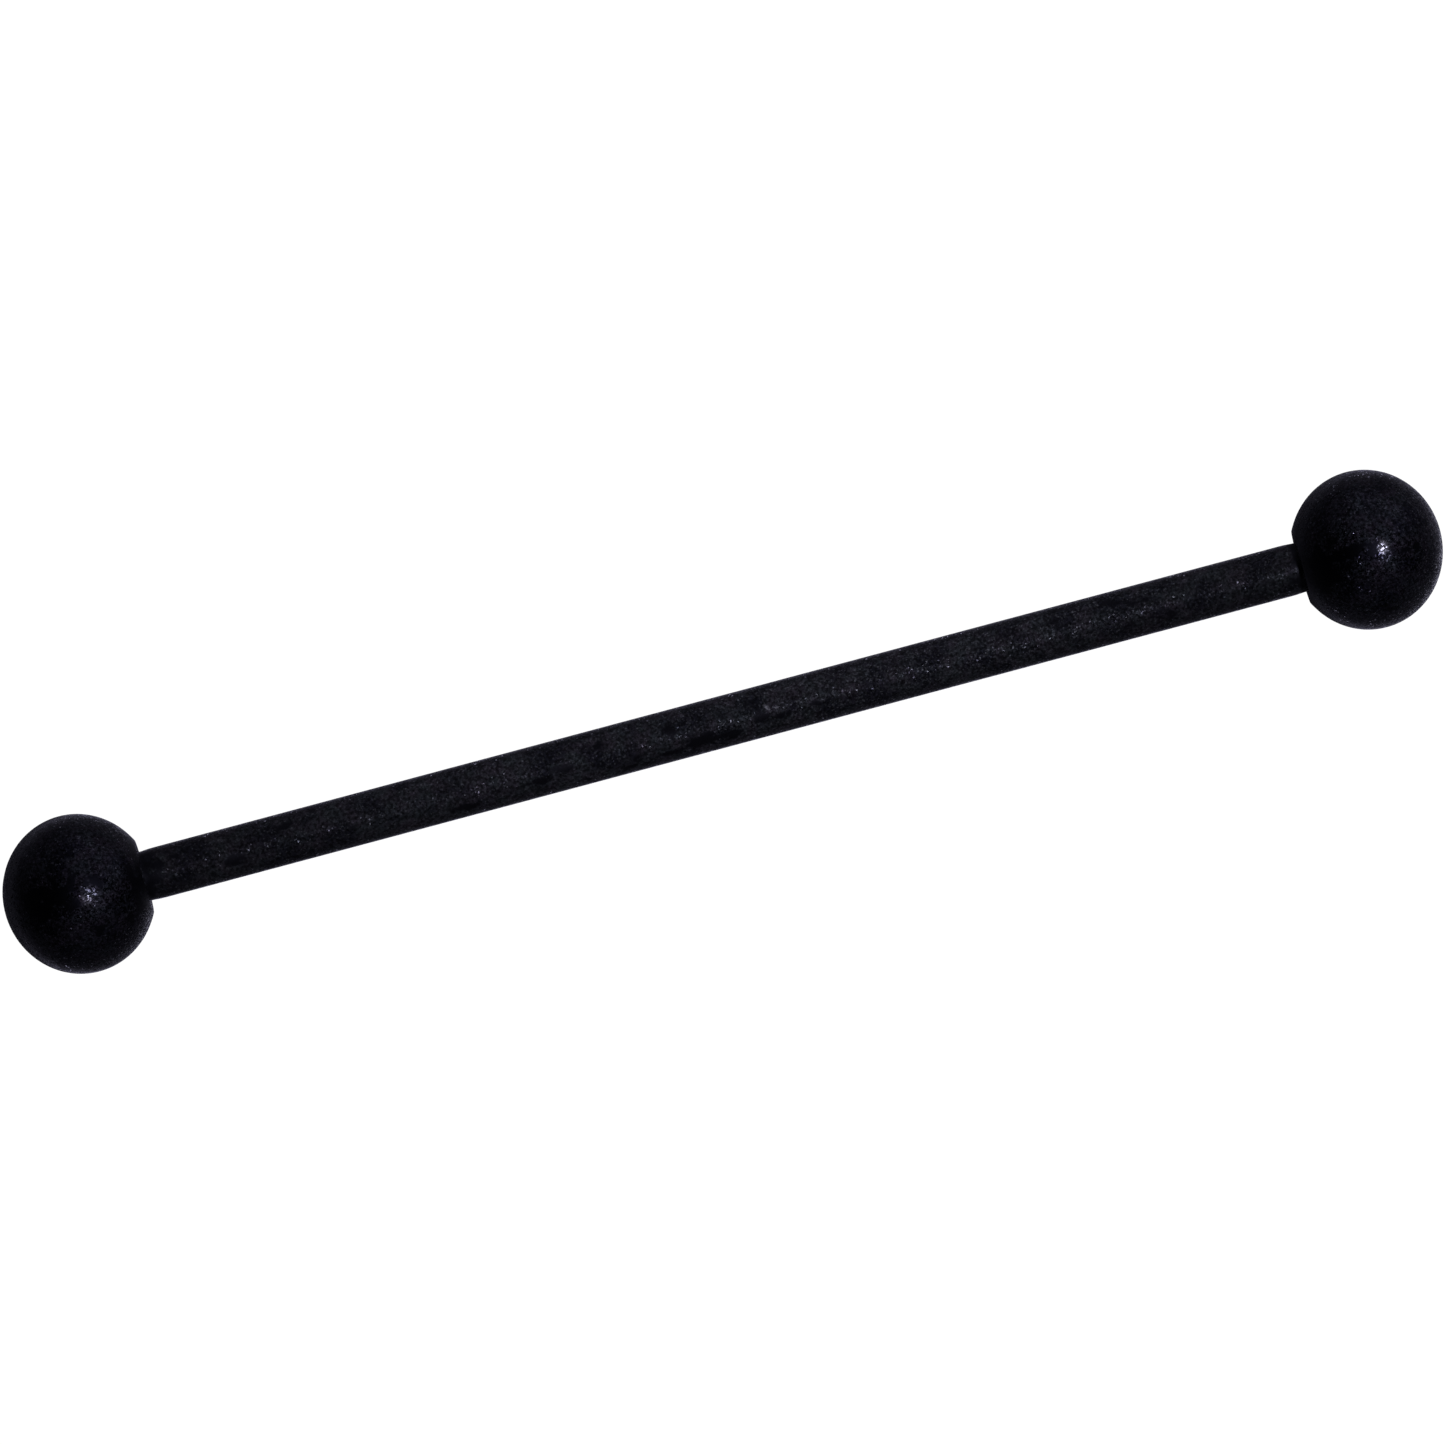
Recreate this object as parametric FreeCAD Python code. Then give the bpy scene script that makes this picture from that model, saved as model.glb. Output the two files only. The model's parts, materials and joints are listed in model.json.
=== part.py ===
"""Straight body-jewellery barbell: a steel bar, and a ball that screws onto each of its ends.

The frame: the bar lies along X with its middle at the origin, and +Z is up. All lengths are in
millimetres. The object rests on its two balls, which touch the ground at z = -BALL_RADIUS.
"""

import FreeCAD, Part
import math
import os

# The shaft, which shows between the two balls: 14 gauge, 1 1/2 inch.
BAR_LENGTH = 38.1
THREAD_RADIUS = 0.80
COATING = 0.025
SHAFT_RADIUS = THREAD_RADIUS + COATING
EASE_LENGTH = 0.6

# The thread at each end of the bar: M1.6 x 0.35, cut straight into the bar's own diameter.
THREAD_PITCH = 0.35
THREAD_LENGTH = 3.0
THREAD_DEPTH = 0.6134 * THREAD_PITCH
THREAD_LAND = 0.2
THREAD_CHAMFER = 0.2
GROOVE_ROOT_WIDTH = THREAD_PITCH / 6
GROOVE_OVERSHOOT = 0.03
FLANK_SLOPE = math.tan(math.radians(30))

# Each ball is a little flatter along the bar than across it, and has a flat where the bar enters.
BALL_RADIUS = 2.56
BALL_AXIAL_RADIUS = 2.43
BALL_CENTRE_FROM_FLAT = 2.15
FLAT_EDGE_ROUND = 0.15

# The hole in each ball is plain: it clears the bar's thread, and the tapped thread isn't cut in it.
BORE_CLEARANCE = 0.03
BORE_RADIUS = THREAD_RADIUS + BORE_CLEARANCE
BORE_DEPTH = 3.3
COUNTERSINK = 0.08
DRILL_HALF_ANGLE = math.radians(59)

OUT = "parts"
ORIGIN = FreeCAD.Vector(0, 0, 0)
X_AXIS = FreeCAD.Vector(1, 0, 0)
Y_AXIS = FreeCAD.Vector(0, 1, 0)
Z_AXIS = FreeCAD.Vector(0, 0, 1)


def along(x, r):
    """A point at x along the bar and r out from its axis, in the half-plane that is revolved."""
    return FreeCAD.Vector(x, 0, r)


def straight_edges(points):
    return [Part.LineSegment(a, b).toShape() for a, b in zip(points, points[1:])]


def revolve(edges):
    """The solid that a closed half-outline sweeps out in one full turn about the bar's axis."""
    return Part.Face(Part.Wire(edges)).revolve(ORIGIN, X_AXIS, 360)


def bar_blank():
    """The bar before its threads are cut: the coated shaft, eased down to the bare ends."""
    shaft_end = BAR_LENGTH / 2
    tip = shaft_end + THREAD_LENGTH
    right_half = [
        along(shaft_end - EASE_LENGTH, SHAFT_RADIUS),
        along(shaft_end, THREAD_RADIUS),
        along(tip - THREAD_CHAMFER, THREAD_RADIUS),
        along(tip, THREAD_RADIUS - THREAD_CHAMFER),
        along(tip, 0),
    ]
    left_half = [along(-point.x, point.z) for point in reversed(right_half)]
    outline = left_half + right_half
    return revolve(straight_edges(outline + outline[:1]))


def thread_groove():
    """The right-handed V groove of the right-hand thread, from its land out past the bar's end."""
    start = BAR_LENGTH / 2 + THREAD_LAND + THREAD_PITCH / 2
    root = THREAD_RADIUS - THREAD_DEPTH
    mouth = THREAD_RADIUS + GROOVE_OVERSHOOT
    root_half = GROOVE_ROOT_WIDTH / 2
    mouth_half = root_half + (mouth - root) * FLANK_SLOPE
    corners = [
        FreeCAD.Vector(root, 0, -root_half),
        FreeCAD.Vector(root, 0, root_half),
        FreeCAD.Vector(mouth, 0, mouth_half),
        FreeCAD.Vector(mouth, 0, -mouth_half),
    ]
    section = Part.Wire(straight_edges(corners + corners[:1]))
    helix = Part.makeLongHelix(THREAD_PITCH, THREAD_LENGTH, THREAD_RADIUS)
    groove = helix.makePipeShell([section], True, True)
    groove.rotate(ORIGIN, Y_AXIS, 90)
    groove.translate(X_AXIS * start)
    return groove


def make_bar():
    """The bar, in one piece with the thread at each of its ends."""
    right_groove = thread_groove()
    left_groove = right_groove.copy()
    left_groove.rotate(ORIGIN, Z_AXIS, 180)
    return bar_blank().cut([right_groove, left_groove]).Solids[0]


def circles(shape, radius):
    """The shape's edges that are as long as a circle of this radius."""
    length = 2 * math.pi * radius
    return [edge for edge in shape.Edges if math.isclose(edge.Length, length, abs_tol=1e-6)]


def make_right_ball():
    """The ball on the bar's +X end, with its flat and its blind hole facing the bar."""
    flat = BAR_LENGTH / 2
    centre = flat + BALL_CENTRE_FROM_FLAT
    tip = centre + BALL_AXIAL_RADIUS
    outline = Part.Ellipse(along(centre, BALL_RADIUS), along(tip, 0), along(centre, 0))
    rim_angle = -math.asin(BALL_CENTRE_FROM_FLAT / BALL_AXIAL_RADIUS)
    shell = Part.Arc(outline, rim_angle, math.pi / 2).toShape()
    bore_end = flat + BORE_DEPTH
    hole = [
        outline.value(rim_angle),
        along(flat, BORE_RADIUS + COUNTERSINK),
        along(flat + COUNTERSINK, BORE_RADIUS),
        along(bore_end, BORE_RADIUS),
        along(bore_end + BORE_RADIUS / math.tan(DRILL_HALF_ANGLE), 0),
        along(tip, 0),
    ]
    ball = revolve([shell] + straight_edges(hole))
    return ball.makeFillet(FLAT_EDGE_ROUND, circles(ball, outline.value(rim_angle).z)).Solids[0]


def make_left_ball():
    """The same ball, turned end for end onto the bar's -X end."""
    ball = make_right_ball()
    ball.rotate(ORIGIN, Z_AXIS, 180)
    return ball


def main():
    os.makedirs(OUT, exist_ok=True)
    nodes = {"bar": make_bar(), "left_ball": make_left_ball(), "right_ball": make_right_ball()}
    for name, shape in nodes.items():
        shape.exportStep(f"{OUT}/{name}.step")
        print(name, shape.ShapeType, len(shape.Solids), shape.isValid(), round(shape.Volume, 4))


main()
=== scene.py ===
"""Looks for the straight barbell: the coated bar, its two screw-on balls, and the studio.

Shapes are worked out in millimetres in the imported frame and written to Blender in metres. The bar
lies along X with its middle at the origin, and the object rests on its balls, +Z up.
"""

import json
import math

import bmesh
import bpy
from mathutils import Matrix, Vector, noise


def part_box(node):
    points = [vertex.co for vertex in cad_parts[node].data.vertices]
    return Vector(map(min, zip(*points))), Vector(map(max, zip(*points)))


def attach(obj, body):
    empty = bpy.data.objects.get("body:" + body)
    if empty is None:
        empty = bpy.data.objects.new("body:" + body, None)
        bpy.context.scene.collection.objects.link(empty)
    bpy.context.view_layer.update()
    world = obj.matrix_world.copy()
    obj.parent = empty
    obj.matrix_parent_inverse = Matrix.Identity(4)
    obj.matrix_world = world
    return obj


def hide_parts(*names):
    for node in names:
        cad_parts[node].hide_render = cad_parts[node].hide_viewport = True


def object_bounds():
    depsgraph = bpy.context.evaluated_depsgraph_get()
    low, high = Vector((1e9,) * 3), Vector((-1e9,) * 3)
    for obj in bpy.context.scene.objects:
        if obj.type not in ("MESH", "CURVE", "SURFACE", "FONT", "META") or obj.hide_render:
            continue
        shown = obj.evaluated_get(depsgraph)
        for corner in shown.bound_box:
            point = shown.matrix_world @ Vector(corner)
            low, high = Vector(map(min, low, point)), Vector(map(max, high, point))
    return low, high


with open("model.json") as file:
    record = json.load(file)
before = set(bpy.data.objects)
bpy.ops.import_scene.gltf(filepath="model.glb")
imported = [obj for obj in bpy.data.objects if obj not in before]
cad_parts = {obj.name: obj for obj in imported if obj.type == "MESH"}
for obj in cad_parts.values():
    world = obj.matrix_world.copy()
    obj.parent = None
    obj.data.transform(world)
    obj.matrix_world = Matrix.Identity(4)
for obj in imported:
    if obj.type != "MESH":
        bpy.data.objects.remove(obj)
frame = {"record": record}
cad_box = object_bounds()

MM = 0.001
TURN = 2 * math.pi

# ---- Sizes that the frame gives, in millimetres ------------------------------------------------
SHAFT = frame["record"]["mounts"][0]["dims"]
SHAFT_RADIUS = SHAFT["r_mm"]
EASE_START = SHAFT["length_mm"] / 2
BALL_LOW, BALL_HIGH = (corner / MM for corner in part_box("right_ball"))
FLAT = BALL_LOW.x
BALL_TIP = BALL_HIGH.x
BALL_RADIUS = (BALL_HIGH.z - BALL_LOW.z) / 2
BAR_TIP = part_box("bar")[1].x / MM
FLOOR = cad_box[0].z / MM

# ---- Sizes of the details, in millimetres ------------------------------------------------------
BALL_CENTRE_FROM_FLAT = 2.15
BALL_CENTRE = FLAT + BALL_CENTRE_FROM_FLAT
FLAT_DISH = 0.035
THREAD_RADIUS = 0.80
PITCH = 0.35
THREAD_DEPTH = 0.6134 * PITCH
# The groove starts at the first x, and has its full depth from the second.
RUN_OUT = (FLAT + 0.08, FLAT + 0.42)
TIP_CHAMFER = 0.2
THREAD_CLEARANCE = 0.012
BORE_RADIUS = 0.61
BORE_END = FLAT + 3.3
# The tapped thread fades out between these, short of the bottom of the hole.
TAP_END = (BORE_END - 0.3, BORE_END - 0.05)
DRILL_CONE = 0.37
END_FACE_DISH = 0.02
# How wide the hole's countersink would open at the flat, and how much wider the flat starts.
MOUTH_RADIUS, MOUTH_STEP = 0.91, 0.03
# How far the coating goes into the hole, and how it has rubbed off the crests of the bar's thread.
COAT_REACH = 0.12
RUB_START = 0.02
RUB_PITCH, RUB_LEVELS, RUB_UNEVENNESS = 0.3, (0.55, 0.95), 0.35
# The relief fades out, and painted shade darkens the coating, this close to where the bar and a ball
# meet.
RELIEF_FADE = 0.12
JOINT_SHADE_REACH = 0.32

# ---- How finely the surfaces are meshed --------------------------------------------------------
BAR_SEGMENTS = 96
SHAFT_STEP = 0.056
BALL_SEGMENTS = 384
BALL_RINGS = 150
FLAT_RINGS = 7
CAP_RINGS = 8
SHARP_ANGLE = math.radians(28)
WELD_DISTANCE = 0.0004
# One pitch of the thread, from crest to crest: how far along the pitch, and how deep.
THREAD_PROFILE = (
    (0.00, 0.0),
    (0.06, 0.02),
    (0.16, 0.26),
    (0.28, 0.62),
    (0.38, 0.93),
    (0.50, 1.0),
    (0.62, 0.93),
    (0.72, 0.62),
    (0.84, 0.26),
    (0.94, 0.02),
)

# ---- The wear and relief of the coating, in millimetres ----------------------------------------
# Every relief is a depth below the nominal surface, so nothing stands proud of the CAD.
LUMP_PITCH, LUMP_DEPTH = 1.1, 0.003
GRAIN_PITCH, GRAIN_DEPTH = 0.13, 0.003
SHAFT_STRETCH = 1.8
# Pits: one cell in six or so has one. PIT_SHUFFLE only changes which.
PIT_SPACING, PIT_SHARE, PIT_SHUFFLE = 0.62, 0.16, 7.3
PIT_RADIUS, PIT_DEPTH = 0.10, 0.010
PIT_SMALLEST, PIT_FLOOR = 0.45, 0.35
# Worn patches: WORN_FRACTAL is how fast the octaves fade, their ratio and how many there are.
WORN_PITCH, WORN_FRACTAL = 0.30, (0.9, 2.1, 4)
WORN_UNEVENNESS, WORN_LEVELS, WORN_DEPTH = 0.60, (0.15, 0.85), 0.003
# Noise moves each listed patch about by up to WANDER, which breaks up its outline.
WANDER_PITCH, WANDER = 0.42, 0.20
# noise_vector takes its offsets from this seed. Without one they would come from the clock.
NOISE_SEED = 7
# A patch ends at this squared distance, counted in its own half sizes. A chip fades out between
# these shares of its radius.
STAIN_CUTOFF, CHIP_EDGE = 6, (0.5, 1.0)
# Worn patches and patches of painted shade that show from above: x, y, half their length and width, and
# how strong.
STAINS_AND_SHADE = (
    # Painted shade: darker towards the left ball.
    (-18.6, 0.00, 1.00, 1.00, 0.68),
    (-16.2, -0.20, 0.50, 0.20, 0.60),
    (-14.3, 0.42, 0.45, 0.20, 0.60),
    (-11.8, 0.13, 0.50, 0.20, 0.60),
    (-8.6, -0.50, 0.90, 0.20, 0.60),
    (-6.4, -0.30, 0.85, 0.42, 0.66),
    (-5.4, -0.18, 0.50, 0.28, 0.58),
    (-4.1, 0.16, 0.35, 0.18, 0.50),
    (-3.2, -0.55, 0.80, 0.20, 0.50),
    (-1.9, -0.50, 0.60, 0.26, 0.66),
    (-1.6, 0.08, 0.40, 0.26, 0.62),
    (-0.9, -0.36, 0.60, 0.28, 0.66),
    (-0.2, 0.28, 0.35, 0.20, 0.50),
    (0.1, -0.50, 0.60, 0.24, 0.60),
    (0.8, 0.31, 0.35, 0.15, 0.50),
    (1.2, -0.20, 0.45, 0.18, 0.75),
    (1.9, -0.26, 0.45, 0.15, 0.70),
    (3.0, -0.18, 0.25, 0.14, 0.60),
    (4.6, -0.13, 0.25, 0.14, 0.60),
    (10.6, 0.10, 1.60, 0.80, 0.28),
    (12.9, 0.50, 0.55, 0.22, 0.60),
    (14.6, 0.00, 2.00, 0.90, 0.34),
    (16.2, -0.35, 0.60, 0.18, 0.60),
    (-20.7, -1.20, 0.26, 0.20, 1.0),
    (-20.5, 0.30, 0.36, 0.18, 1.0),
    (-21.2, -0.30, 0.28, 0.24, 1.0),
    (-19.7, -1.17, 0.18, 0.16, 1.0),
    # The next three are painted shade: the left ball's side away from the light, and a band beside its
    # flat.
    (-22.2, 0.05, 0.85, 0.70, 1.0),
    (-21.4, 0.25, 0.60, 0.28, 1.0),
    (-19.3, -0.30, 0.24, 0.90, 1.0),
    (22.3, -0.31, 0.45, 0.13, 1.0),
    (21.25, -0.05, 0.20, 0.24, 1.0),
    (21.4, -2.00, 0.22, 0.16, 1.0),
    # Painted shadow of the bar on the right ball, beside its flat.
    (19.6, -0.25, 0.90, 0.80, 1.0),
    (20.7, 0.10, 0.60, 0.24, 1.0),
)
# Where the coating is rubbed thin or chipped, two of them painted highlights, seen from above: x, y,
# radius and how bare.
CHIPS_AND_HIGHLIGHTS = (
    (1.44, 0.09, 0.09, 0.8),
    (1.72, 0.12, 0.06, 0.8),
    # These two are rubbed spots placed where each ball's highlight falls: partly painted highlight.
    (21.68, -0.06, 0.26, 0.26),
    (-20.86, -0.24, 0.20, 0.08),
)

# ---- The coating's colour and shine ------------------------------------------------------------
# The facets of the blasted surface, in millimetres, and how far they lean. A few lean steeply, and
# they lean less where the coating is worn or under painted shade.
FACET_SIZE, FACET_LEAN = 0.045, 0.14
STEEP_SHARE, STEEP_LEAN = 0.18, 0.9
WORN_LEAN = 0.15
# Noises in the coating: the pitch in millimetres, and the octaves.
FUZZ, TONE, SHADE, MOTTLE = (0.09, 3.0), (0.5, 2.0), (0.9, 4.0), (0.10, 2.0)
FUZZ_DEPTH = 0.0012
# The worn patches and painted shade, with the fuzz added to make them ragged, go from none to full
# between these.
RAGGED = (0.72, 1.40)
TONE_LEVELS = (0.35, 0.65)
SHADE_LEVELS, DEEPEST = (0.35, 0.60), 0.15
MOTTLE_LEVELS, MOTTLE_STRENGTH = (0.35, 0.65), (0.42, 1.62)
# Each facet draws how pale and how glossy it is, 0 to 1, and it takes effect between these.
GLINT_LEVELS, GLOSSY_LEVELS = (0.82, 1.0), (0.48, 0.68)
WORN_ROUGHNESS = 0.45
# Painted light makes the coating brightest about one x and darker towards the balls. It is grainiest
# about another x. Each changes with distance from its x.
PAINTED_LIGHT_CENTRE, PAINTED_LIGHT_REACH, PAINTED_LIGHT_LEVELS = 1.0, (7.0, 20.5), (1.13, 0.74)
GRAINIEST, GRAINY_REACH, GRAINY_SHARE = 6.5, (2.5, 10.0), 0.18
GRAINY_GLINT = 0.5
# Each piece's coating: its tint, darker on the left ball as painted shade, how metallic it is, how
# rough between its glossy facets and on them, and how strong its sheen is.
BAR = {"tint_and_shade": (0.95, 0.99, 0.84, 1), "metallic": 0.80, "roughness": 0.80, "glossy": 0.29, "sheen": 0.70}
BALL = {"metallic": 0.97, "roughness": 0.62, "glossy": 0.22, "sheen": 0.48}
COATINGS = {
    "bar": BAR,
    # Painted shade: the left ball's tint is darker than the right ball's.
    "left_ball": {"tint_and_shade": (0.77, 0.77, 0.75, 1), **BALL},
    "right_ball": {"tint_and_shade": (0.86, 0.87, 0.84, 1), **BALL},
}
SHEEN_ROUGHNESS, SHEEN_TINT = 0.28, (0.90, 0.88, 1.0, 1)
# How much light each sort of coating sends straight back.
COAT_COOL = (0.038, 0.042, 0.051, 1)
COAT_WARM = (0.046, 0.039, 0.054, 1)
COAT_GLINT = (0.082, 0.082, 0.098, 1)
COAT_DEEP = (0.012, 0.012, 0.021, 1)
# For worn patches, and for painted shade.
COAT_WORN_AND_SHADE = (0.007, 0.007, 0.010, 1)
STEEL, STEEL_ROUGHNESS = (0.42, 0.42, 0.43, 1), 0.32

# ---- The studio, in millimetres ----------------------------------------------------------------
FLOOR_WHITE, FLOOR_GLOW = (1, 1, 1, 1), 1.05
FLOOR_MATT, FLOOR_SATIN, FLOOR_ROUGHNESS = (0.05, 0.05, 0.05, 1), (0.3, 0.3, 0.3, 1), 0.4
FLOOR_SIZE = 4000
FILL_COLOUR = (0.86, 0.86, 1.0, 1)
FILL_STRENGTH, BACKDROP_STRENGTH = 0.005, 1.05
VIEW_TURN = math.radians(14.97)
VIEW_WIDTH = 45.98
VIEW_CENTRE = (-0.005, -0.023)
CAMERA_DISTANCE = 420
SENSOR_WIDTH = 36
COOL = (0.80, 0.79, 1.0)
# Each light: its name, degrees round from the picture's right, degrees off the camera's axis,
# distance and width in mm, watts and colour.
SOFTBOXES = (
    ("key", -2, 21.8, 1200, 165, 3.8, COOL),
    ("upper_right", 45, 68, 600, 450, 0.32, COOL),
    ("top_near", 90, 42, 600, 450, 0.12, COOL),
    ("top_low", 90, 85, 600, 450, 0.29, COOL),
    ("upper_left", 135, 75, 600, 420, 0.05, COOL),
    ("bottom", 270, 65, 600, 420, 0.08, COOL),
    ("lower_right", 315, 65, 600, 420, 0.06, COOL),
)


# ---- The coating's wear and relief -------------------------------------------------------------
def smoothstep(low, high, value):
    t = min(max((value - low) / (high - low), 0.0), 1.0)
    return t * t * (3 - 2 * t)


def hand_placed(point):
    """Wear with painted shade, and bareness with painted highlights, from the listed patches at a point,
    0 to 1.
    """
    if point.z < 0:
        return 0.0, 0.0
    stain_and_shade = 0.0
    for x, y, half_length, half_width, strength in STAINS_AND_SHADE:
        away = ((point.x - x) / half_length) ** 2 + ((point.y - y) / half_width) ** 2
        if away < STAIN_CUTOFF:
            stain_and_shade = max(stain_and_shade, strength * math.exp(-away))
    bare = 0.0
    for x, y, radius, bareness in CHIPS_AND_HIGHLIGHTS:
        away = math.hypot(point.x - x, point.y - y) / radius
        bare = max(bare, bareness * (1 - smoothstep(*CHIP_EDGE, away)))
    return stain_and_shade, bare


def pit_at(point):
    """How far a point is down a pit, from 0 to 1."""
    distances, centres = noise.voronoi(point / PIT_SPACING)
    draw = 0.5 + 0.5 * noise.cell(centres[0] * PIT_SHUFFLE)
    if draw >= PIT_SHARE:
        return 0.0
    radius = PIT_RADIUS * (PIT_SMALLEST + (1 - PIT_SMALLEST) * draw / PIT_SHARE)
    return 1 - smoothstep(PIT_FLOOR * radius, radius, distances[0] * PIT_SPACING)


def coat_relief(point):
    """How deep the coating lies at a point, its wear with painted shade, and its bareness with painted
    highlights, 0 to 1.
    """
    stretch = SHAFT_STRETCH if abs(point.x) < FLAT else 1.0
    place = Vector((point.x / stretch, point.y, point.z))
    wandering = noise.noise_vector(point / WANDER_PITCH) * WANDER
    stain_and_shade, bare = hand_placed(point + wandering)
    patch = noise.fractal(place / WORN_PITCH, *WORN_FRACTAL)
    worn = smoothstep(*WORN_LEVELS, stain_and_shade + WORN_UNEVENNESS * patch)
    lump = 0.5 + 0.5 * noise.noise(place / LUMP_PITCH)
    grain = 0.5 + 0.5 * noise.noise(point / GRAIN_PITCH)
    pit = pit_at(point)
    depth = LUMP_DEPTH * lump + GRAIN_DEPTH * grain * (1 - worn) + WORN_DEPTH * worn + PIT_DEPTH * pit
    return depth, max(worn, pit), bare


# ---- Mesh building -----------------------------------------------------------------------------
# A row is one turn about the bar's axis, from y towards z: (point, wear and painted shade,
# bareness and painted highlight) for each angle.
class Shell:
    """A mesh in the making, in millimetres. Wear and painted shade, bareness and painted highlight go 0
    to 1 at each point.
    """

    def __init__(self):
        self.points, self.worn, self.bare, self.faces = [], [], [], []

    def add_grid(self, rows, wrap_shift=0):
        """Adds rows and the faces between them. At the seam a row meets the one wrap_shift on."""
        first, turn = len(self.points), len(rows[0])
        for row in rows:
            for point, worn, bare in row:
                self.points.append(point)
                self.worn.append(worn)
                self.bare.append(bare)
        for i in range(len(rows) - 1):
            for j in range(turn):
                shift = wrap_shift if j == turn - 1 else 0
                if i + 1 + shift < len(rows):
                    here = first + i * turn + j
                    across = first + (i + shift) * turn + (j + 1) % turn
                    self.faces.append((here, here + turn, across + turn, across))
        return first

    def add_step_down(self, fine_first, fine_turn, coarse_first, coarse_turn):
        """Adds the faces between a ring of many points and a ring of fewer."""
        ratio = fine_turn // coarse_turn
        for j in range(coarse_turn):
            near = coarse_first + j
            far = coarse_first + (j + 1) % coarse_turn
            for k in range(ratio):
                a = fine_first + j * ratio + k
                b = fine_first + (j * ratio + k + 1) % fine_turn
                if k == ratio // 2:
                    self.faces.append((a, far, near))
                self.faces.append((a, b, near if k < ratio // 2 else far))

    def to_object(self, name):
        """The welded and smooth-shaded object, in metres."""
        mesh = bpy.data.meshes.new(name)
        mesh.from_pydata([point * MM for point in self.points], [], self.faces)
        for label, values in (("worn", self.worn), ("bare", self.bare)):
            mesh.attributes.new(label, "FLOAT", "POINT").data.foreach_set("value", values)
        work = bmesh.new()
        work.from_mesh(mesh)
        bmesh.ops.remove_doubles(work, verts=work.verts, dist=WELD_DISTANCE * MM)
        bmesh.ops.recalc_face_normals(work, faces=work.faces)
        work.to_mesh(mesh)
        work.free()
        mesh.shade_smooth()
        mesh.set_sharp_from_angle(angle=SHARP_ANGLE)
        piece = bpy.data.objects.new(name, mesh)
        bpy.context.scene.collection.objects.link(piece)
        return piece


def around(x, radius, angle, side=1):
    """A point x along the bar and a radius from its axis. On side -1 it's turned end for end.

    Half a turn about Z takes one end to the other, and keeps a right-hand thread right-handed.
    """
    return Vector((side * x, side * radius * math.cos(angle), radius * math.sin(angle)))


def angles(segments):
    return [TURN * j / segments for j in range(segments)]


def cap_rows(x, rim_radius, bulge, side):
    """A round face from its rim, whose radius depends on the angle, to a middle that stands out."""
    rows = []
    for i in range(CAP_RINGS + 1):
        share = i / CAP_RINGS
        row = []
        for angle in angles(BAR_SEGMENTS):
            point = around(x + bulge * share, rim_radius(angle) * (1 - share), angle, side)
            row.append((point, 0.0, 1.0))
        rows.append(row)
    return rows


# ---- The threads -------------------------------------------------------------------------------
def thread_depth(phase):
    """How deep the thread's profile is at a phase, from 0 at a crest to 1 at a root."""
    phase %= 1.0
    knots = THREAD_PROFILE + ((1.0, 0.0),)
    for (start, start_depth), (end, end_depth) in zip(knots, knots[1:]):
        if phase <= end:
            return start_depth + (end_depth - start_depth) * (phase - start) / (end - start)


def groove(x, angle):
    """The radius of the thread's helical groove, which runs out at the shaft."""
    cut = smoothstep(*RUN_OUT, x) * thread_depth((x - FLAT) / PITCH - angle / TURN)
    return THREAD_RADIUS - THREAD_DEPTH * cut


def outer_thread(x, angle):
    """The radius of the bar's thread, which is chamfered at its end."""
    chamfered = THREAD_RADIUS - max(x - (BAR_TIP - TIP_CHAMFER), 0.0)
    return min(groove(x, angle), chamfered)


def inner_thread(x, angle):
    """The radius of the thread tapped in a ball, which clears the bar's, and its countersink."""
    full = max(groove(x, angle) + THREAD_CLEARANCE, BORE_RADIUS)
    tapped = 1 - smoothstep(*TAP_END, x)
    return max(BORE_RADIUS + tapped * (full - BORE_RADIUS), MOUTH_RADIUS - (x - FLAT))


def helical_rows(start, end, radius_at, bare_at, side):
    """Rows from start to end that follow the thread's helix, cut square at both."""
    per_pitch = len(THREAD_PROFILE)
    turns = math.ceil((end - FLAT) / PITCH)
    rows = []
    for i in range(-per_pitch, (turns + 1) * per_pitch + 1):
        pitches = i // per_pitch + THREAD_PROFILE[i % per_pitch][0]
        row = []
        for angle in angles(BAR_SEGMENTS):
            x = min(max(FLAT + PITCH * (pitches + angle / TURN), start), end)
            point = around(x, radius_at(x, angle), angle, side)
            row.append((point, 0.0, bare_at(point)))
        rows.append(row)
    return rows


# ---- The bar -----------------------------------------------------------------------------------
def shaft_rows():
    """The coated shaft, eased down at each end to the diameter of its thread."""
    count = round(2 * FLAT / SHAFT_STEP)
    rows = []
    for i in range(count + 1):
        x = FLAT * (2 * i / count - 1)
        eased = smoothstep(EASE_START, FLAT, abs(x)) ** 2
        radius = SHAFT_RADIUS - (SHAFT_RADIUS - THREAD_RADIUS) * eased
        coated = 1 - smoothstep(FLAT - RELIEF_FADE, FLAT, abs(x))
        # Painted shade: the coating darkens towards each ball.
        painted_joint_shade = smoothstep(FLAT - JOINT_SHADE_REACH, FLAT - RELIEF_FADE, abs(x))
        row = []
        for angle in angles(BAR_SEGMENTS):
            depth, worn, bare = coat_relief(around(x, radius, angle))
            point = around(x, radius - coated * depth, angle)
            row.append((point, max(worn, painted_joint_shade), coated * bare))
        rows.append(row)
    return rows


def rubbed_crest(point):
    """How far the coating has rubbed off the bar's thread: bare crests, black roots."""
    height = smoothstep(THREAD_RADIUS - THREAD_DEPTH, THREAD_RADIUS, math.hypot(point.y, point.z))
    rubbed = smoothstep(*RUB_LEVELS, height + RUB_UNEVENNESS * noise.noise(point / RUB_PITCH))
    return rubbed * smoothstep(FLAT + RUB_START, FLAT + RELIEF_FADE, abs(point.x))


def tip_rim(angle):
    """The radius of the bar's end face."""
    return outer_thread(BAR_TIP, angle)


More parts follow.
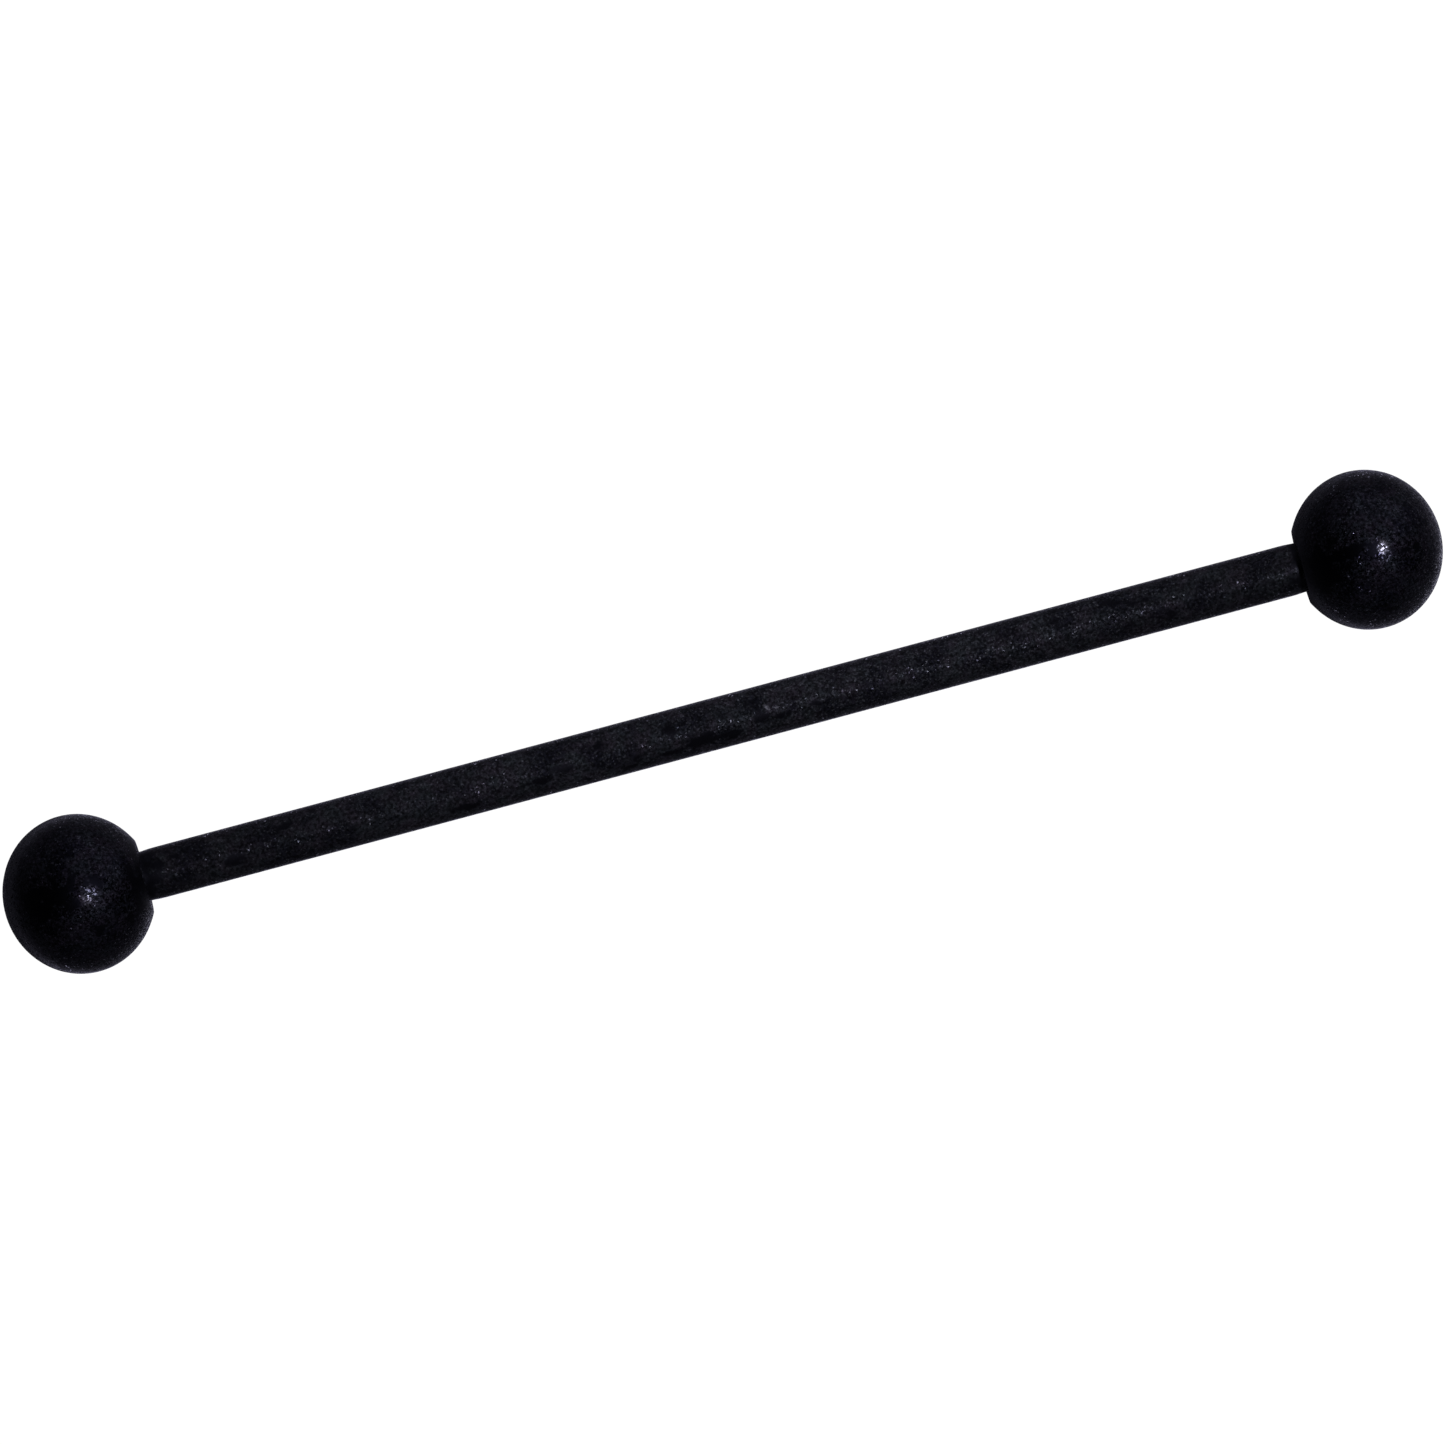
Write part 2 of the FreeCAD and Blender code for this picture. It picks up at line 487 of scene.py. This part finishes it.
def make_bar():
    """The shaft, and a thread and an end face on each of its ends."""
    bar = Shell()
    bar.add_grid(shaft_rows())
    for side in (-1, 1):
        thread = helical_rows(FLAT, BAR_TIP, outer_thread, rubbed_crest, side)
        bar.add_grid(thread, wrap_shift=len(THREAD_PROFILE))
        bar.add_grid(cap_rows(BAR_TIP, tip_rim, -END_FACE_DISH, side))
    return bar.to_object("black_bar")


# ---- The balls ---------------------------------------------------------------------------------
def ball_outline():
    """The ball's outline from beside its hole to its far tip: each x and radius."""
    axial_radius = BALL_TIP - BALL_CENTRE
    flat_latitude = -math.asin((BALL_CENTRE - FLAT) / axial_radius)
    flat_radius = BALL_RADIUS * math.cos(flat_latitude)
    mouth_radius = MOUTH_RADIUS + MOUTH_STEP
    outline = []
    for i in range(FLAT_RINGS):
        share = i / FLAT_RINGS
        radius = mouth_radius + (flat_radius - mouth_radius) * share
        outline.append((FLAT + FLAT_DISH * (1 - share), radius))
    for i in range(BALL_RINGS + 1):
        latitude = flat_latitude + (math.pi / 2 - flat_latitude) * i / BALL_RINGS
        x = BALL_CENTRE + axial_radius * math.sin(latitude)
        outline.append((x, BALL_RADIUS * math.cos(latitude)))
    return outline


def ball_rows(side):
    """The outside of a ball. The relief fades out at the edge of its flat, which painted shade darkens.
    """
    rows = []
    for i, (x, radius) in enumerate(ball_outline()):
        coated = smoothstep(0.0, RELIEF_FADE, x - FLAT) if i > FLAT_RINGS else 0.0
        # Painted shade darkens the flat and the ball just beside it.
        painted_joint_shade = 1 - smoothstep(0.0, JOINT_SHADE_REACH, x - FLAT) if i > FLAT_RINGS else 1.0
        row = []
        for angle in angles(BALL_SEGMENTS):
            surface = around(x, radius, angle, side)
            depth, worn, bare = coat_relief(surface)
            inward = (Vector((side * BALL_CENTRE, 0, 0)) - surface).normalized()
            row.append((surface + inward * coated * depth, max(worn, painted_joint_shade), coated * bare))
        rows.append(row)
    return rows


def bare_inside(point):
    """The coating stops just inside the hole's mouth."""
    return smoothstep(FLAT + COAT_REACH, FLAT + 2 * COAT_REACH, abs(point.x))


def make_ball(name, side):
    """A ball with its tapped blind hole. Side 1 is the bar's +X end."""
    ball = Shell()
    outside = ball.add_grid(ball_rows(side))
    hole = helical_rows(FLAT + FLAT_DISH, BORE_END, inner_thread, bare_inside, side)
    mouth = ball.add_grid(hole, wrap_shift=len(THREAD_PROFILE))
    ball.add_grid(cap_rows(BORE_END, lambda angle: BORE_RADIUS, DRILL_CONE, side))
    ball.add_step_down(outside, BALL_SEGMENTS, mouth, BAR_SEGMENTS)
    return ball.to_object(name)


# ---- Materials ---------------------------------------------------------------------------------
class Nodes:
    """Short calls for building the nodes of a material or of the world."""

    def __init__(self, owner):
        owner.use_nodes = True
        self.tree = owner.node_tree
        self.tree.nodes.clear()

    def add(self, kind, inputs=None, **settings):
        """Adds a node. Each input is a value, or the output socket of another node."""
        node = self.tree.nodes.new("ShaderNode" + kind)
        for name, value in settings.items():
            setattr(node, name, value)
        for key, value in (inputs or {}).items():
            if isinstance(value, bpy.types.NodeSocket):
                self.tree.links.new(value, node.inputs[key])
            else:
                node.inputs[key].default_value = value
        return node

    def attribute(self, name):
        return self.add("Attribute", attribute_name=name).outputs["Fac"]

    def math(self, operation, a, b):
        return self.add("Math", {0: a, 1: b}, operation=operation).outputs[0]

    def distance(self, value, place):
        return self.math("ABSOLUTE", self.math("SUBTRACT", value, place), 0.0)

    def vector(self, operation, a, b=(0, 0, 0)):
        return self.add("VectorMath", {0: a, 1: b}, operation=operation).outputs[0]

    def scaled(self, vector, scale):
        return self.add("VectorMath", {0: vector, "Scale": scale}, operation="SCALE").outputs[0]

    def ramp(self, value, low, high, to_low=0.0, to_high=1.0):
        inputs = {"Value": value, "From Min": low, "From Max": high, "To Min": to_low, "To Max": to_high}
        return self.add("MapRange", inputs, interpolation_type="SMOOTHSTEP").outputs[0]

    def noise(self, place, pitch, octaves):
        """Noise from 0 to 1, mostly near the middle, at a place in millimetres."""
        inputs = {"Vector": place, "Scale": 1 / pitch, "Detail": octaves}
        return self.add("TexNoise", inputs).outputs["Fac"]

    def mix(self, factor, a, b, blend="MIX"):
        """A mix of two colours. Inputs 6 and 7 and output 2 are the node's sockets for colours."""
        inputs = {0: factor, 6: a, 7: b}
        return self.add("Mix", inputs, data_type="RGBA", blend_type=blend).outputs[2]


def coat_colour(nodes, place, along, draw, grainy, worn, tint_and_shade):
    """Two dark tones with deeper patches, pale facets, a fine mottle and painted light; darker where
    worn or under painted shade.
    """
    toned = nodes.mix(nodes.ramp(nodes.noise(place, *TONE), *TONE_LEVELS), COAT_COOL, COAT_WARM)
    shade = nodes.ramp(nodes.noise(place, *SHADE), *SHADE_LEVELS, DEEPEST)
    shaded = nodes.mix(shade, COAT_DEEP, toned)
    glintiness = nodes.math("ADD", draw, nodes.math("MULTIPLY", grainy, GRAINY_GLINT))
    clear_of_wear_and_shade = nodes.math("SUBTRACT", 1.0, worn)
    glint = nodes.math("MULTIPLY", nodes.ramp(glintiness, *GLINT_LEVELS), clear_of_wear_and_shade)
    glinting = nodes.mix(glint, shaded, COAT_GLINT)
    # Painted light: brighter about the middle of the bar, darker towards its ends and the balls.
    painted_light = nodes.ramp(nodes.distance(along, PAINTED_LIGHT_CENTRE), *PAINTED_LIGHT_REACH, *PAINTED_LIGHT_LEVELS)
    mottle = nodes.ramp(nodes.noise(place, *MOTTLE), *MOTTLE_LEVELS, *MOTTLE_STRENGTH)
    strength = nodes.math("MULTIPLY", painted_light, mottle)
    tint_shade_and_light = nodes.scaled(nodes.mix(1.0, glinting, tint_and_shade, "MULTIPLY"), strength)
    return nodes.mix(worn, tint_shade_and_light, COAT_WORN_AND_SHADE)


def coat_roughness(nodes, draw, grainy, worn, roughness, glossy):
    """Rough, with glossy facets, and of one roughness in between where it is worn or under painted
    shade.
    """
    coated = nodes.ramp(nodes.math("ADD", draw, grainy), *GLOSSY_LEVELS, roughness, glossy)
    return nodes.ramp(worn, 0.0, 1.0, coated, WORN_ROUGHNESS)


def coat_normal(nodes, facet_centre, fuzz, worn):
    """Each facet leans its own way, over a fine bump."""
    dice = nodes.add("TexWhiteNoise", {"Vector": facet_centre})
    centred = nodes.vector("SUBTRACT", dice.outputs["Color"], (0.5, 0.5, 0.5))
    lean = nodes.ramp(dice.outputs["Value"], 1 - STEEP_SHARE, 1.0, FACET_LEAN, STEEP_LEAN)
    lean = nodes.math("MULTIPLY", lean, nodes.ramp(worn, 0.0, 1.0, 1.0, WORN_LEAN))
    bumped = nodes.add("Bump", {"Height": fuzz, "Distance": FUZZ_DEPTH * MM}).outputs["Normal"]
    return nodes.vector("NORMALIZE", nodes.vector("ADD", bumped, nodes.scaled(centred, lean)))


def black_coating(name, tint_and_shade, metallic, roughness, glossy, sheen):
    """Matt black over a blasted surface: sparkling grain, smooth worn patches, rubbed threads, and
    painted light and shade.
    """
    material = bpy.data.materials.new(name)
    nodes = Nodes(material)
    place = nodes.scaled(nodes.add("TexCoord").outputs["Object"], 1 / MM)
    along = nodes.add("SeparateXYZ", {"Vector": place}).outputs["X"]
    grainy = nodes.ramp(nodes.distance(along, GRAINIEST), *GRAINY_REACH, GRAINY_SHARE, 0.0)
    facets = nodes.add("TexVoronoi", {"Vector": place, "Scale": 1 / FACET_SIZE}).outputs
    draws = nodes.add("SeparateColor", {"Color": facets["Color"]}).outputs
    fuzz = nodes.noise(place, *FUZZ)
    worn = nodes.ramp(nodes.math("ADD", nodes.attribute("worn"), fuzz), *RAGGED)
    bare = nodes.attribute("bare")

    coat = coat_colour(nodes, place, along, draws["Green"], grainy, worn, tint_and_shade)
    matt = coat_roughness(nodes, draws["Blue"], grainy, worn, roughness, glossy)
    surface = {
        "Base Color": nodes.mix(bare, coat, STEEL),
        "Metallic": nodes.ramp(bare, 0.0, 1.0, metallic, 1.0),
        "Roughness": nodes.ramp(bare, 0.0, 1.0, matt, STEEL_ROUGHNESS),
        "Normal": coat_normal(nodes, facets["Position"], fuzz, worn),
        "Sheen Weight": sheen,
        "Sheen Roughness": SHEEN_ROUGHNESS,
        "Sheen Tint": SHEEN_TINT,
    }
    shader = nodes.add("BsdfPrincipled", surface)
    nodes.add("OutputMaterial", {"Surface": shader.outputs["BSDF"]})
    return material


def white_floor():
    """A plain white table, satin smooth. The camera sees it as bright as paper."""
    material = bpy.data.materials.new("white_floor")
    nodes = Nodes(material)
    seen = nodes.add("LightPath").outputs["Is Camera Ray"]
    matt = nodes.add("BsdfDiffuse", {"Color": FLOOR_MATT})
    satin = nodes.add("BsdfAnisotropic", {"Color": FLOOR_SATIN, "Roughness": FLOOR_ROUGHNESS})
    lit = nodes.add("AddShader", {0: matt.outputs[0], 1: satin.outputs[0]})
    bright = nodes.add("Emission", {"Color": FLOOR_WHITE, "Strength": FLOOR_GLOW})
    mixed = nodes.add("MixShader", {0: seen, 1: lit.outputs[0], 2: bright.outputs[0]})
    nodes.add("OutputMaterial", {"Surface": mixed.outputs[0]})
    return material


# ---- The studio --------------------------------------------------------------------------------
def view_axes():
    """The camera's right, up and backward directions: it looks straight down and is turned."""
    turn = Matrix.Rotation(-VIEW_TURN, 3, "Z")
    return turn @ Vector((1, 0, 0)), turn @ Vector((0, 1, 0)), Vector((0, 0, 1))


def add_camera():
    data = bpy.data.cameras.new("camera")
    data.sensor_width = SENSOR_WIDTH
    data.lens = SENSOR_WIDTH * CAMERA_DISTANCE / VIEW_WIDTH
    data.clip_start = CAMERA_DISTANCE * MM / 10
    camera = bpy.data.objects.new("camera", data)
    right, up, back = view_axes()
    camera.matrix_world = Matrix((right, up, back)).transposed().to_4x4()
    centre = right * VIEW_CENTRE[0] + up * VIEW_CENTRE[1]
    camera.location = (centre + back * CAMERA_DISTANCE) * MM
    bpy.context.scene.collection.objects.link(camera)
    bpy.context.scene.camera = camera


def add_softbox(name, turn, tilt, distance, width, power, colour):
    """A round area light that faces the object."""
    data = bpy.data.lights.new(name, "AREA")
    data.shape, data.size = "DISK", width * MM
    data.energy, data.color = power, colour
    right, up, back = view_axes()
    sideways = right * math.cos(math.radians(turn)) + up * math.sin(math.radians(turn))
    tilt = math.radians(tilt)
    direction = back * math.cos(tilt) + sideways * math.sin(tilt)
    light = bpy.data.objects.new(name, data)
    light.location = direction * distance * MM
    light.rotation_euler = direction.to_track_quat("Z", "Y").to_euler()
    bpy.context.scene.collection.objects.link(light)


def add_floor():
    half = FLOOR_SIZE * MM / 2
    height = FLOOR * MM
    flat_corners = [(-half, -half), (half, -half), (half, half), (-half, half)]
    corners = [(x, y, height) for x, y in flat_corners]
    mesh = bpy.data.meshes.new("floor")
    mesh.from_pydata(corners, [], [(0, 1, 2, 3)])
    mesh.materials.append(white_floor())
    floor = bpy.data.objects.new("floor", mesh)
    bpy.context.scene.collection.objects.link(floor)


def add_world():
    world = bpy.data.worlds.new("studio")
    nodes = Nodes(world)
    seen = nodes.add("LightPath").outputs["Is Camera Ray"]
    fill = nodes.add("Background", {"Color": FILL_COLOUR, "Strength": FILL_STRENGTH})
    backdrop = nodes.add("Background", {"Color": FLOOR_WHITE, "Strength": BACKDROP_STRENGTH})
    mixed = nodes.add("MixShader", {0: seen, 1: fill.outputs[0], 2: backdrop.outputs[0]})
    nodes.add("OutputWorld", {"Surface": mixed.outputs[0]})
    bpy.context.scene.world = world
    bpy.context.scene.view_settings.view_transform = "Standard"


# ---- Putting it together -----------------------------------------------------------------------
def main():
    noise.seed_set(NOISE_SEED)
    pieces = {
        "bar": make_bar(),
        "left_ball": make_ball("black_ball_left", -1),
        "right_ball": make_ball("black_ball_right", 1),
    }
    for node, piece in pieces.items():
        piece.data.materials.append(black_coating(f"{node}_coating", **COATINGS[node]))
        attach(piece, node)
        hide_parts(node)
    add_camera()
    add_floor()
    add_world()
    for softbox in SOFTBOXES:
        add_softbox(*softbox)


main()
